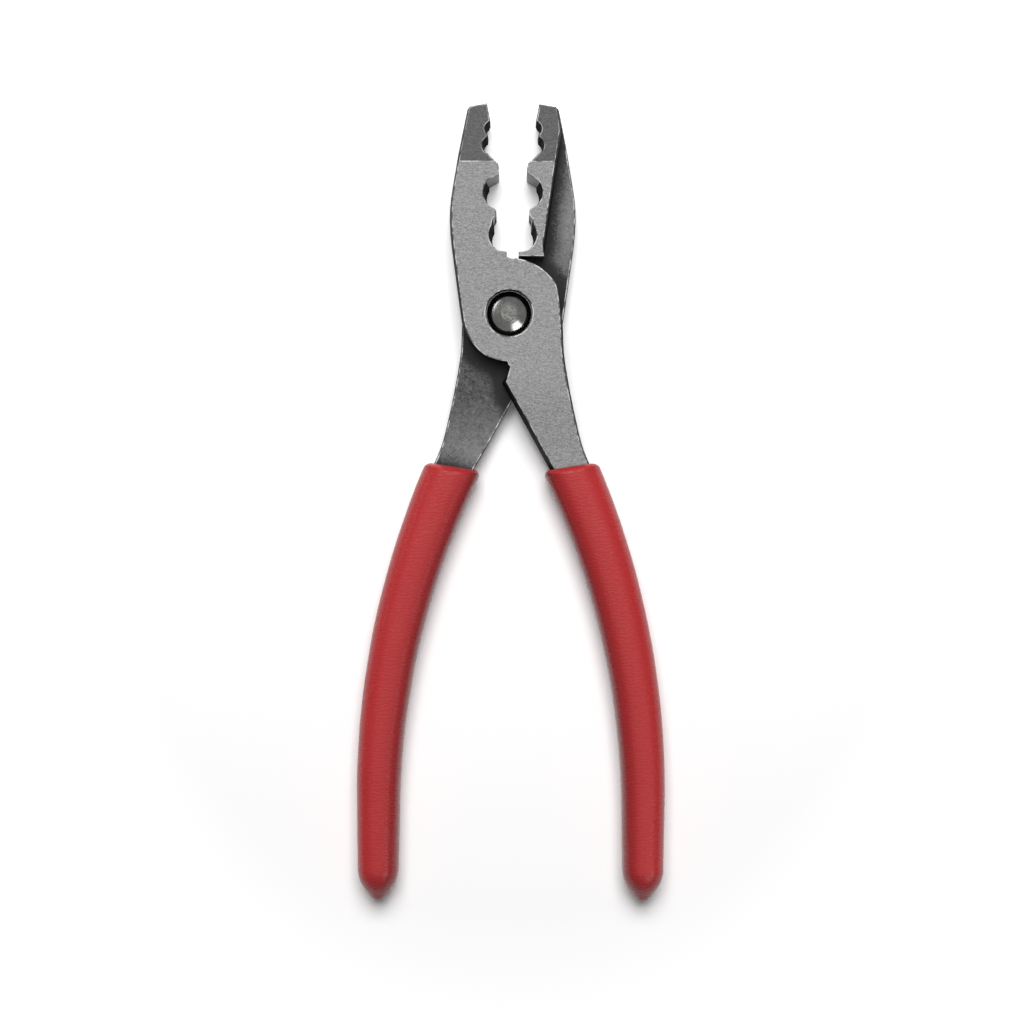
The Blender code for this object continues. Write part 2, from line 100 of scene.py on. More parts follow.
def length(label, about, millimetres):
    """A length property from a size in millimetres."""
    return FloatProperty(
        name=label, description=about, default=millimetres * MM,
        unit="LENGTH", subtype="DISTANCE", precision=5,
    )


def angle(label, about, degrees):
    """An angle property from degrees."""
    return FloatProperty(
        name=label, description=about, default=math.radians(degrees), unit="ROTATION", subtype="ANGLE"
    )


def power(label, about, watts):
    """A lamp's power property."""
    return FloatProperty(name=label, description=about, default=watts, unit="POWER", subtype="POWER", min=0)


class PliersSteel(bpy.types.PropertyGroup):
    """Wear, painted highlight, painted shade and finishes of the two steel halves"""

    # the bright line is a rounding worn by handling, coloured as its painted highlight
    edge_wear_and_highlight: length("Edge wear", "Width of the bright line along a rim", 0.26)
    # the dark rounding is coloured as a wall, in the walls' painted shade
    shaded_rounding: length("Wall wear", "Width of the dark rounding outside that line", 0.2)
    ground: colour("Ground faces", "Belt-ground outer faces", "#B2B2B2")
    forged: colour("Forged faces", "Blackened lap faces", "#646465")
    # painted shade: the walls' oxide is coloured darker than the lap faces' for the shade that falls on them
    wall: colour("Walls", "Blackened side walls", "#3C3C3D")
    recess: colour("Tip recesses", "Milled faces of the jaw tips", "#7F7F7F")
    # painted shade: the backs of the nests are coloured near black for the shade deep in them
    nest: colour("Nests", "Blackened backs of the nests", "#252526")
    flank: colour("Flanks", "Broached flanks of the teeth", "#6A6A6B")
    # painted highlight: the worn edges are coloured near white, paler than plain steel
    edge: colour("Edges", "Bare steel along the worn edges", "#E6E6E6")


class PliersRivet(bpy.types.PropertyGroup):
    """Shape and finish of the rivet"""

    steel: colour("Rivet", "Polished slope of the rivet's head", "#CACAC7")
    peened: colour("Flat", "Peened flat of the rivet's head", "#959591")
    flat_radius: length("Flat radius", "Radius of the flat in the middle of the head", 2.0)
    inner_slope: angle("Inner slope", "Slope of the head beside its flat", 18)
    outer_slope: angle("Outer slope", "Slope of the head at its rim", 33)
    steps: IntProperty(name="Steps", description="Facets round the rivet", default=96, min=24)


class PliersGrips(bpy.types.PropertyGroup):
    """Shape and colour of the two vinyl grips"""

    vinyl: colour("Vinyl", "Dipped vinyl", "#B32E30")
    # painted shade: this darker red is mixed in on the inner side and at the nose, where shade falls
    vinyl_in_shade: colour("Deep vinyl", "Vinyl on the thicker inner side", "#8F2124")
    lip: length("Lip", "Radius of the rolled mouth", 1.8)
    unevenness: length("Unevenness", "How far the dipped coat swells and sinks", 0.06)
    rings: IntProperty(name="Rings", description="Sections along a grip", default=90, min=20)
    sides: IntProperty(name="Sides", description="Points round a grip", default=56, min=16)


class PliersStage(bpy.types.PropertyGroup):
    """Floor, camera and lights"""

    floor: colour("Floor", "White paper under the tool", "#FAFAFA")
    camera_height: length("Camera height", "Lens above the floor", 470)
    lens: FloatProperty(
        name="Lens", description="Focal length", default=63.8, min=10, subtype="DISTANCE_CAMERA"
    )
    roll: angle("Roll", "Turn of the camera", 0.2)
    key_light: power("Key", "Light beyond the jaws, which casts the shadow", 12.0)
    strip_light: power("Strip", "Low strip that the rivet mirrors at its left", 0.3)
    glint_light: power("Glint", "Light that the rivet mirrors at its lower right", 0.5)


def feed(tree, node, inputs):
    """Fills a node's inputs with numbers, colours or other nodes' outputs."""
    for key, value in inputs.items():
        if isinstance(value, bpy.types.NodeSocket):
            tree.links.new(value, node.inputs[key])
        else:
            node.inputs[key].default_value = value


def add(tree, kind, inputs=None, **settings):
    """Adds a node with its settings and fills its inputs."""
    made = tree.nodes.new(kind)
    for name, value in settings.items():
        setattr(made, name, value)
    feed(tree, made, inputs or {})
    return made


WAVE_LENGTH = math.pi / 10  # between two bands of a wave texture at scale 1
WHITE = (1, 1, 1, 1)


def across(millimetres):
    """Texture scale whose cells are this wide, on coordinates in metres."""
    return 1 / (millimetres * MM)


def blank_material(name):
    """A new material, its node tree and its Principled shader."""
    made = bpy.data.materials.new(name)
    made.use_nodes = True
    return made, made.node_tree, made.node_tree.nodes["Principled BSDF"]


def tone(rgb, factor):
    """A colour with its brightness changed."""
    return (*[min(1.0, c * factor) for c in rgb], 1.0)


# Pattern sizes in millimetres. The oxide's speckle, the rivet's rings and the vinyl's wrinkles are finer than
# a pixel on a real tool, so they are drawn this coarse to show.
SPECKLE, PATCHES = 0.9, 9.0
WORN_SPOTS = 2.2
RINGS, SMEARS = 0.8, 1.6
WRINKLES = 0.9

BELT_STRETCH = (0.75, 1.0, 1.0)  # the belt's marks run longer across the tool than along it
LAP_CENTRE = PIVOT.y - 9 * MM  # around here the lap faces are painted darkest, for the shade under the upper plate
LAP_DARK_REACH, LAP_PALE_REACH = 12 * MM, 31 * MM  # from there to where the paling starts, and to where it is full
SHADE_REACH = 5.5 * MM  # painted shade darkens the oxide this far around a wall


def ground_steel(name, rgb, period, contrast, roughness):
    """Tool steel ground on a belt and tumbled: an even satin grey under short wavy marks.

    The marks of a real belt are some 0.1 mm wide, too fine to show, so they are drawn at the period given,
    in millimetres.
    """
    made, tree, shader = blank_material(name)
    coords = add(tree, "ShaderNodeTexCoord").outputs["Object"]
    place = add(tree, "ShaderNodeMapping", {"Vector": coords, "Scale": BELT_STRETCH}).outputs[0]
    waves = add(
        tree, "ShaderNodeTexWave",
        {
            "Vector": place, "Scale": across(period) * WAVE_LENGTH, "Distortion": 16.0, "Detail": 3.0,
            "Detail Scale": 2.2, "Detail Roughness": 0.6,
        },
        wave_type="BANDS", bands_direction="Y",
    ).outputs[1]
    grain = add(
        tree, "ShaderNodeTexNoise",
        {"Vector": place, "Scale": across(0.75 * period), "Detail": 2.0, "Roughness": 0.5, "Distortion": 2.0},
    ).outputs[0]
    marks = add(tree, "ShaderNodeMath", {0: waves, 1: 0.34, 2: grain}, operation="MULTIPLY_ADD").outputs[0]
    shade = add(tree, "ShaderNodeMapRange", {"Value": marks, "From Min": 0.4, "From Max": 0.94}).outputs[0]
    dark, pale = tone(rgb, 1 - contrast), tone(rgb, 1 + contrast)
    mixed = add(tree, "ShaderNodeMix", {0: shade, 6: dark, 7: pale}, data_type="RGBA").outputs[2]
    gloss = add(
        tree, "ShaderNodeMapRange", {"Value": shade, "To Min": roughness - 0.05, "To Max": roughness + 0.06}
    ).outputs[0]
    bump = add(tree, "ShaderNodeBump", {"Strength": 0.3, "Distance": 0.02 * MM, "Height": marks}).outputs[0]
    feed(tree, shader, {"Base Color": mixed, "Roughness": gloss, "Normal": bump, "Metallic": 1.0})
    return made


def blackened_steel(name, rgb, shine):
    """Drop-forged steel with its black oxide left on: dark, dull and speckled, with painted shade near walls,
    in corners and by the pivot, and paler towards the grips and the jaws.

    The shine is 1 on the flat lap faces, which rub on each other, and near 0 in walls and nests.
    """
    made, tree, shader = blank_material(name)
    place = add(tree, "ShaderNodeTexCoord").outputs["Object"]
    speckle = add(
        tree, "ShaderNodeTexNoise",
        {"Vector": place, "Scale": across(SPECKLE), "Detail": 4.0, "Roughness": 0.65, "Distortion": 1.2},
    ).outputs[0]
    patches = add(
        tree, "ShaderNodeTexNoise", {"Vector": place, "Scale": across(PATCHES), "Detail": 2.0}
    ).outputs[0]
    oxide = add(
        tree, "ShaderNodeMath", {0: patches, 1: 0.25, 2: speckle}, operation="MULTIPLY_ADD"
    ).outputs[0]
    height = add(tree, "ShaderNodeSeparateXYZ", {0: place}).outputs[1]
    offset = add(tree, "ShaderNodeMath", {0: height, 1: LAP_CENTRE}, operation="SUBTRACT").outputs[0]
    away = add(tree, "ShaderNodeMath", {0: offset}, operation="ABSOLUTE").outputs[0]
    # painted shade darkens the lap faces near the pivot, under the upper plate; towards the grips and the
    # jaws they are paler, worn by handling
    paling = add(
        tree, "ShaderNodeMapRange",
        {"Value": away, "From Min": LAP_DARK_REACH, "From Max": LAP_PALE_REACH, "To Min": -0.12, "To Max": 0.28},
    ).outputs[0]
    # painted shade: ambient occlusion darkens the oxide's colour near walls and in corners
    painted_shade_ao = add(tree, "ShaderNodeAmbientOcclusion", {"Distance": SHADE_REACH}, samples=8).outputs["AO"]
    shade_and_paling = add(
        tree, "ShaderNodeMath", {0: painted_shade_ao, 1: 2.1, 2: paling}, operation="MULTIPLY_ADD"
    ).outputs[0]
    oxide_and_shade = add(tree, "ShaderNodeMath", {0: oxide, 1: shade_and_paling}, operation="ADD").outputs[0]
    shade = add(
        tree, "ShaderNodeMapRange", {"Value": oxide_and_shade, "From Min": 2.42, "From Max": 3.22, "To Max": 1.6}
    ).outputs[0]
    dark, pale = tone(rgb, 0.16), tone(rgb, 1.42)
    mixed = add(
        tree, "ShaderNodeMix", {0: shade, 6: dark, 7: pale}, data_type="RGBA", clamp_factor=False
    ).outputs[2]
    bump = add(
        tree, "ShaderNodeBump", {"Strength": 0.35, "Distance": 0.03 * MM, "Height": speckle}
    ).outputs[0]
    feed(tree, shader, {
        "Base Color": mixed, "Roughness": 0.85 - 0.33 * shine, "Normal": bump,
        "Metallic": 0.1 * shine, "Specular IOR Level": 0.3 * shine,
    })
    return made


def worn_highlit_steel(name, rgb):
    """Plain steel along an edge that handling has worn bright, coloured paler still as the edge's painted
    highlight, duller where oxide is left in places.
    """
    made, tree, shader = blank_material(name)
    place = add(tree, "ShaderNodeTexCoord").outputs["Object"]
    paling = add(
        tree, "ShaderNodeTexNoise",
        {"Vector": place, "Scale": across(WORN_SPOTS), "Detail": 3.0, "Roughness": 0.6},
    ).outputs[0]
    shade = add(tree, "ShaderNodeMapRange", {"Value": paling, "From Min": 0.42, "From Max": 0.58}).outputs[0]
    dark, pale = tone(rgb, 0.2), tone(rgb, 1.0)
    mixed = add(tree, "ShaderNodeMix", {0: shade, 6: dark, 7: pale}, data_type="RGBA").outputs[2]
    feed(tree, shader, {"Base Color": mixed, "Roughness": 0.4, "Metallic": 0.5})
    return made


def polished_steel(name, rgb):
    """Rivet steel, headed cold and polished by turning: a dark mirror with faint rings and dull smears."""
    made, tree, shader = blank_material(name)
    place = add(tree, "ShaderNodeTexCoord").outputs["Object"]
    centred = add(tree, "ShaderNodeMapping", {"Vector": place, "Location": tuple(-PIVOT)}).outputs[0]
    rings = add(
        tree, "ShaderNodeTexWave",
        {"Vector": centred, "Scale": across(RINGS) * WAVE_LENGTH, "Distortion": 1.2},
        wave_type="RINGS", rings_direction="Z",
    ).outputs[1]
    smears = add(
        tree, "ShaderNodeTexNoise",
        {"Vector": place, "Scale": across(SMEARS), "Detail": 4.0, "Roughness": 0.65},
    ).outputs[0]
    gloss = add(
        tree, "ShaderNodeMapRange",
        {"Value": smears, "From Min": 0.35, "From Max": 0.7, "To Min": 0.15, "To Max": 0.24},
    ).outputs[0]
    dark, pale = tone(rgb, 0.6), tone(rgb, 1.35)
    mixed = add(tree, "ShaderNodeMix", {0: smears, 6: dark, 7: pale}, data_type="RGBA").outputs[2]
    bump = add(tree, "ShaderNodeBump", {"Strength": 0.15, "Distance": 0.02 * MM, "Height": rings}).outputs[0]
    feed(tree, shader, {"Base Color": mixed, "Roughness": gloss, "Normal": bump, "Metallic": 1.0})
    return made


def dipped_vinyl(name, rgb, vinyl_in_shade, tip, shade_length):
    """Soft vinyl that the hot tang was dipped in: satin red and finely wrinkled, with painted shade that
    turns it a darker red on the inner side and at the nose.

    The tip is the grip's lowest Y, and the nose's painted shade grows over the given length down to it.
    """
    made, tree, shader = blank_material(name)
    coords = add(tree, "ShaderNodeTexCoord").outputs
    place = coords["Object"]
    skin = add(
        tree, "ShaderNodeTexNoise",
        {"Vector": place, "Scale": across(WRINKLES), "Detail": 2.0, "Roughness": 0.5, "Distortion": 0.3},
    ).outputs[0]
    wrinkles = add(
        tree, "ShaderNodeTexWave",
        {
            "Vector": place, "Scale": across(WRINKLES) * WAVE_LENGTH, "Distortion": 9.0, "Detail": 2.0,
            "Detail Scale": 1.5,
        },
        wave_type="BANDS", bands_direction="Y",
    ).outputs[1]
    relief = add(tree, "ShaderNodeMath", {0: wrinkles, 1: 2.2, 2: skin}, operation="MULTIPLY_ADD").outputs[0]
    aside, height, _ = add(tree, "ShaderNodeSeparateXYZ", {0: place}).outputs
    # painted shade: faces turned towards the other grip, and the nose, get the darker red
    side = add(tree, "ShaderNodeMath", {0: aside}, operation="SIGN").outputs[0]
    turned = add(tree, "ShaderNodeSeparateXYZ", {0: coords["Normal"]}).outputs[0]
    outward = add(tree, "ShaderNodeMath", {0: turned, 1: side}, operation="MULTIPLY").outputs[0]
    outer_light = add(
        tree, "ShaderNodeMapRange", {"Value": outward, "From Min": -0.75, "From Max": 0.05, "To Max": 0.8}
    ).outputs[0]
    nose_shade = add(
        tree, "ShaderNodeMapRange",
        {"Value": height, "From Min": tip, "From Max": tip + shade_length, "To Min": -0.75, "To Max": 0.0},
    ).outputs[0]
    painted_shading = add(tree, "ShaderNodeMath", {0: outer_light, 1: nose_shade}, operation="ADD").outputs[0]
    paler = add(tree, "ShaderNodeMath", {0: skin, 1: 0.5}, operation="SUBTRACT").outputs[0]
    # the skin's noise and the painted shading together set the mix
    coat = add(tree, "ShaderNodeMath", {0: paler, 1: 0.6, 2: painted_shading}, operation="MULTIPLY_ADD").outputs[0]
    mixed = add(tree, "ShaderNodeMix", {0: coat, 6: (*vinyl_in_shade, 1), 7: (*rgb, 1)}, data_type="RGBA").outputs[2]
    gloss = add(
        tree, "ShaderNodeMapRange",
        {"Value": relief, "From Min": 0.6, "From Max": 2.6, "To Min": 0.27, "To Max": 0.4},
    ).outputs[0]
    bump = add(
        tree, "ShaderNodeBump", {"Strength": 0.45, "Distance": 0.022 * MM, "Height": relief}
    ).outputs[0]
    feed(tree, shader, {"Base Color": mixed, "Roughness": gloss, "Normal": bump, "IOR": 1.52})
    return made


def show(name, bm, materials, body, slot, *nodes):
    """A finished piece: its mesh, its materials, the body that it rides on and the nodes it stands for."""
    mesh = bpy.data.meshes.new(name)
    bm.to_mesh(mesh)
    bm.free()
    for material in materials:
        mesh.materials.append(material)
    made = bpy.data.objects.new(name, mesh)
    bpy.context.scene.collection.objects.link(made)
    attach(made, body)
    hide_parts(*nodes)
    return made


COINCIDENT = 0.005 * MM  # points closer than this are one


def weld(bm):
    """Joins points that coincide and brings the normals up to date."""
    bmesh.ops.remove_doubles(bm, verts=bm.verts, dist=COINCIDENT)
    bm.normal_update()


def between(start, end, share):
    """The value that lies this share of the way from start to end."""
    return start + (end - start) * share


GROUND, FORGED, WALL, RECESS, NEST, FLANK, EDGE = range(7)
FLAT_NORMAL = 0.9  # a face this upright in Z counts as flat
RECESS_FOOT = PIVOT.y + 38.3 * MM
RECESS_LEVEL = MIDDLE - 1.0 * MM  # an outer face nearer the middle than this is a tip recess
MOUTH_FOOT = PIVOT.y + 13.0 * MM
MOUTH_HALF_WIDTH = 8.6 * MM
TURNED_OUT = 0.2  # a wall turned this far from the centreline is not one of the mouth's
FLANK_SLANT = 0.6  # a mouth wall turned this far towards Y is the flank of a tooth
SHARP = math.radians(36)
CREASE = math.radians(14)  # faces that meet at more than this are not shaded as one
FLATNESS = math.radians(0.6)
SLIVER = 0.12 * MM  # shorter edges and thinner faces are left out

WALL_DROP = 2.0  # how far the dark rounding goes down the wall, as a share of its width
EDGE_DROP = 0.3  # and the bright line
RECESS_WEAR = 0.5  # width of the bright line round a tip recess, as a share of the others
TIGHTEST_CORNER = 0.3  # keeps the wear from running far into a sharp corner
STRAIGHT_ACROSS = 0.7  # cosine of the angle within which an edge lies across from a corner
WEAR_ROOM = 0.4  # the most that wear may take of the room across
WEAR_CLOSING = 0.6  # the most by which wear may shorten an edge
EASING, EASE = 30, 0.85  # tries at narrowing the wear in tight places, and what each leaves
TOUCHING = 0.01 * MM  # a corner this close to an edge belongs to it


def finish_of(face, side):
    """The finish of a half's face: side is 1 for the front half, whose plate is the upper one, or -1."""
    centre, normal = face.calc_center_median(), face.normal
    off = centre.z - MIDDLE
    if abs(normal.z) > FLAT_NORMAL:
        if off * normal.z < 0:
            return FORGED
        if centre.y > RECESS_FOOT and abs(off) < RECESS_LEVEL:
            return RECESS
        return GROUND if off * side > 0 or centre.y > MOUTH_FOOT else FORGED
    in_mouth = centre.y > MOUTH_FOOT and abs(centre.x) < MOUTH_HALF_WIDTH
    if not in_mouth or normal.x * centre.x > TURNED_OUT * abs(centre.x):
        return WALL
    return FLANK if abs(normal.y) > FLANK_SLANT and centre.y < RECESS_FOOT else NEST


def flat_regions(bm):
    """Groups of flat faces that run into each other without a sharp edge."""
    left = [face for face in bm.faces if abs(face.normal.z) > FLAT_NORMAL]
    regions = []
    while left:
        region = [left.pop(0)]
        for face in region:
            for edge in face.edges:
                near = [other for other in edge.link_faces if other in left]
                if near and edge.calc_face_angle() < SHARP:
                    region += near
                    left = [other for other in left if other not in near]
        regions.append(region)
    return regions


def points_of(edge):
    """An edge's end points, by which it is known again after an inset."""
    return frozenset(tuple(vert.co) for vert in edge.verts)


def ends_of(loop):
    """The corners where a loop's edge starts and ends."""
    return loop.vert, loop.link_loop_next.vert


def inward_shift(before, after):
    """How a corner moves for each unit of wear, from its two edges' inward normals, None where unworn."""
    if before and after:
        return (before + after) / max(TIGHTEST_CORNER, 1 + before.dot(after))
    return before or after or Vector()


def room_across(vert, towards, border):
    """Distance from a corner, across its face, to the nearest other edge of the border."""
    room = math.inf
    for loop in border:
        start, end = (corner.co for corner in ends_of(loop))
        nearest, share = intersect_point_line(vert.co, start, end)
        gap = (start if share < 0 else end if share > 1 else nearest) - vert.co
        if gap.dot(towards) > STRAIGHT_ACROSS * gap.length * towards.length:
            room = min(room, gap.length)
    return room


def wear_depths(border, shift, inward, width):
    """How deep the wear goes at each corner: its width, or less where a face is narrow or an edge short."""
    depth = {
        vert: min(width, WEAR_ROOM * room_across(vert, move, border)) for vert, move in shift.items()
    }
    for loop in border:
        start, end = ends_of(loop)
        for vert in set(shift) - {start, end}:
            nearest, share = intersect_point_line(vert.co, start.co, end.co)
            gap = (vert.co - nearest).dot(inward[start] or Vector())
            if 0 < share < 1 and gap > TOUCHING:
                for corner in (start, end):
                    depth[corner] = min(depth[corner], WEAR_ROOM * gap)
    for _ in range(EASING):
        for loop in border:
            start, end = ends_of(loop)
            along = end.co - start.co
            closing = (shift[start] * depth[start] - shift[end] * depth[end]).dot(along.normalized())
            if closing > WEAR_CLOSING * along.length:
                depth[start] *= EASE
                depth[end] *= EASE
    return depth


def wear_rim(bm, region, width, drop, finish):
    """Wears the convex rim of a flat region into a band: width across the face, drop down the wall."""
    edges = {edge for face in region for edge in face.edges}
    worn = {points_of(edge) for edge in edges if edge.is_convex and edge.calc_face_angle() > SHARP}
    ring = set(bmesh.ops.inset_region(bm, faces=region, use_boundary=True, thickness=0)["faces"])
    border = [loop for face in region for loop in face.loops if ring & set(loop.edge.link_faces)]
    before, after, upright = {}, {}, {}
    for loop in border:
        start, end = ends_of(loop)
        inward = loop.face.normal.cross(end.co - start.co).normalized()
        is_worn = points_of(loop.edge) in worn
        after[start] = before[end] = inward if is_worn else None
        upright[start] = math.copysign(1, loop.face.normal.z)
        if is_worn:
            for face in ring & set(loop.edge.link_faces):
                face.material_index = finish
    shift = {vert: inward_shift(before[vert], after[vert]) for vert in after}
    depth = wear_depths(border, shift, after, width)
    for vert in shift:
        for edge in vert.link_edges:
            if set(edge.link_faces) <= ring and before[vert] and after[vert]:
                edge.other_vert(vert).co.z -= upright[vert] * drop * depth[vert] / width
    for vert, move in shift.items():
        vert.co += move * depth[vert]


def steel_half(node, side, steel):
    """Mesh of a half from its solid, with a finish for each face, worn edges in a painted highlight and
    roundings in the walls' painted shade.
    """
    bm = bmesh.new()
    bm.from_mesh(frame["nodes"][node].data)
    weld(bm)
    bmesh.ops.dissolve_limit(bm, angle_limit=FLATNESS, verts=bm.verts, edges=bm.edges)
    bmesh.ops.dissolve_degenerate(bm, dist=SLIVER, edges=bm.edges)
    bmesh.ops.dissolve_limit(bm, angle_limit=FLATNESS, verts=bm.verts, edges=bm.edges)
    bmesh.ops.recalc_face_normals(bm, faces=bm.faces)
    for face in bm.faces:
        face.material_index = finish_of(face, side)
        face.smooth = True
    # roundings along lap faces and recesses, in the walls' painted shade
    for region in flat_regions(bm):
        if region[0].material_index in (FORGED, RECESS):
            wear_rim(bm, region, steel.shaded_rounding, WALL_DROP * steel.shaded_rounding, WALL)
    weld(bm)
    for region in flat_regions(bm):
        width = steel.edge_wear_and_highlight * (RECESS_WEAR if region[0].material_index == RECESS else 1)
        wear_rim(bm, region, width, EDGE_DROP * width, EDGE)
    weld(bm)
    return bm


class PLIERS_OT_steel_halves(bpy.types.Operator):
    """Make both steel halves from their solids, with worn edges painted paler as their highlight and a finish
    for each kind of face, walls and nests painted darker for their shade
    """

    bl_idname = "pliers.steel_halves"
    bl_label = "Steel Halves"

    def execute(self, context):
        steel = context.scene.pliers_steel
        finishes = {
            GROUND: ground_steel(
                "belt_ground_tool_steel", steel.ground, period=0.85, contrast=0.37, roughness=0.42
            ),
            FORGED: blackened_steel("black_oxide_forged_steel", steel.forged, shine=1.0),
            # painted shade: the walls get a darker copy of the forged oxide
            WALL: blackened_steel("shaded_black_oxide_wall_steel", steel.wall, shine=0.1),
            RECESS: ground_steel(
                "milled_tool_steel", steel.recess, period=0.8, contrast=0.36, roughness=0.46
            ),
            # painted shade: the nests get a near-black copy of the oxide
            NEST: blackened_steel("shaded_black_oxide_nest_steel", steel.nest, shine=0.1),
            FLANK: ground_steel(
                "broached_tool_steel", steel.flank, period=0.8, contrast=0.36, roughness=0.5
            ),
            EDGE: worn_highlit_steel("worn_highlit_edge_steel", steel.edge),
        }
        for node, body, side in (("rear_half", REAR_BODY, -1), ("front_half", FRONT_BODY, 1)):
            bm = steel_half(node, side, steel)
            made = show(f"{node}_steel", bm, finishes.values(), body, "forged_steel", node)
            made.data.set_sharp_from_angle(angle=CREASE)
            level = made.modifiers.new("Level faces", "WEIGHTED_NORMAL")
            level.keep_sharp = True
        return {"FINISHED"}


POLISHED, PEENED = range(2)
HEAD_STEPS = 12  # down the slope of the rivet's head
HEAD_DEPTH = 2.5 * MM
SHANK_RADIUS = 4.0 * MM
RIM_CREASE = 0.8  # the share of the inner slope from which two faces of the rivet are not shaded as one


def rivet_profile(rivet, top, radius):
    """Half the rivet's section as (radius, height) from the middle: flat, bowed slope, seat and shank."""
    inner, outer = rivet.inner_slope, rivet.outer_slope
    bow = (radius - rivet.flat_radius) / (math.sin(outer) - math.sin(inner))
    slopes = [between(inner, outer, i / HEAD_STEPS) for i in range(HEAD_STEPS + 1)]
    head = [
        (
            rivet.flat_radius + bow * (math.sin(slope) - math.sin(inner)),
            top - bow * (math.cos(inner) - math.cos(slope)),
        )
        for slope in slopes
    ]
    seat = top - HEAD_DEPTH
    return [(0, top), *head, (radius, seat), (SHANK_RADIUS, seat)]


class PLIERS_OT_pivot_rivet(bpy.types.Operator):
    """Turn the rivet: a flat in the middle of a shallow dome at both ends, on a plain shank"""

    bl_idname = "pliers.pivot_rivet"
    bl_label = "Pivot Rivet"

    def execute(self, context):
        rivet = context.scene.pliers_rivet
        low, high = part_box("pivot_rivet")
        top = high[2] - MIDDLE
        half = rivet_profile(rivet, top, (high[0] - low[0]) / 2)
        profile = half + [(r, -z) for r, z in reversed(half)]
        bm = bmesh.new()
        verts = [bm.verts.new((PIVOT.x + r, PIVOT.y, MIDDLE + z)) for r, z in profile]
        edges = [bm.edges.new(pair) for pair in zip(verts, verts[1:])]
        bmesh.ops.spin(
            bm, geom=verts + edges, cent=PIVOT, axis=(0, 0, 1),
            angle=2 * math.pi, steps=rivet.steps, use_merge=True,
        )
        weld(bm)
        bmesh.ops.recalc_face_normals(bm, faces=bm.faces)
        for face in bm.faces:
            face.smooth = True
            off = abs(face.calc_center_median().z - MIDDLE)
            face.material_index = PEENED if off > top - COINCIDENT else POLISHED
        finishes = {
            POLISHED: polished_steel("polished_rivet_steel", rivet.steel),
            PEENED: ground_steel(
                "peened_rivet_steel", rivet.peened, period=0.9, contrast=0.5, roughness=0.4
            ),
        }
        made = show("pivot_rivet_steel", bm, finishes.values(), REAR_BODY, "rivet_steel", "pivot_rivet")
        made.data.set_sharp_from_angle(angle=RIM_CREASE * rivet.inner_slope)
        return {"FINISHED"}


# The handle's line and the tang under the grip, as in the solids
HANDLE_REACH = 33.8 * MM
HANDLE_BEND = 206 * MM
BEND_END = -125 * MM
GRIP_MOUTH = -38.7 * MM
GRIP_END = -149.6 * MM
TANG_HALF_THICKNESS = 3.9 * MM
TANG_ROOT_HALF_WIDTH = 4.9 * MM
TANG_END_HALF_WIDTH = 3.2 * MM
TANG_END_CLEAR = 9.5 * MM
LAP = 5.85 * MM
GROUND_RAMP = (-14 * MM, -42 * MM)
LAP_RAMP = (-28.5 * MM, -52 * MM)
MOUTH_ANGLE = math.asin((GRIP_MOUTH - BEND_END) / HANDLE_BEND)
BEND_LENGTH = HANDLE_BEND * MOUTH_ANGLE
GRIP_LENGTH = BEND_LENGTH + BEND_END - GRIP_END
TANG_LENGTH = GRIP_LENGTH - TANG_END_CLEAR

# The vinyl coat
COAT = 2.1 * MM
SNUG = 0.12 * MM  # between the vinyl and the tang
SWELL = 9 * MM  # from one swelling of the coat to the next
MOUTH_TILT = math.radians(9)
MOUTH_BLEND = 25 * MM
OUTER_ROUNDNESS = 2.6  # a section is an ellipse at 2, and squarer above that
BORE_ROUNDNESS = 9.0
LIP_ROUNDNESS = between(BORE_ROUNDNESS, OUTER_ROUNDNESS, 0.6)  # on the crest of the lip
NOSE_ROUNDNESS = 2
NOSE = 8.2 * MM
# the nose's painted shade grows over this length down to its tip
NOSE_SHADE_LENGTH = 1.2 * NOSE
SHOULDER = 0.84  # the lower this is, the fuller the nose
NUB = 0.36  # its width, as a share of the full section
NUB_START = 0.8
NUB_BLEND = 6  # the higher this is, the more sharply the nub leaves the shoulder
NOSE_TIP = 0.02  # share of the full section at the very end
BORE_STEPS, LIP_STEPS, NOSE_STEPS = 12, 8, 40


def handle(s):
    """Distance from the tool's centreline, Y and lean of the handle, s from the grip's mouth."""
    turn = max(0.0, MOUTH_ANGLE - s / HANDLE_BEND)
    reach = HANDLE_REACH - HANDLE_BEND * (1 - math.cos(turn))
    y = PIVOT.y + BEND_END + HANDLE_BEND * math.sin(turn) - max(0.0, s - BEND_LENGTH)
    return reach, y, turn


def tang_half_width(s):
    """Half the tang's width, s from the grip's mouth."""
    return between(TANG_ROOT_HALF_WIDTH, TANG_END_HALF_WIDTH, max(0.0, s) / TANG_LENGTH)


def eased(value, start, end):
    """A smooth step from 0 at start to 1 at end."""
    share = min(1.0, max(0.0, (value - start) / (end - start)))
    return share * share * (3 - 2 * share)


def nose_share(t):
    """Share of the full section along the nose: a rounded shoulder that runs out into a small nub."""
    shoulder = (1 - t * t) ** SHOULDER
    nub = NUB * math.sqrt(1 - max(0.0, (t - NUB_START) / (1 - NUB_START)) ** 2)
    joined = (shoulder**NUB_BLEND + nub**NUB_BLEND) ** (1 / NUB_BLEND)
    return min(1.0, max(NOSE_TIP, joined))


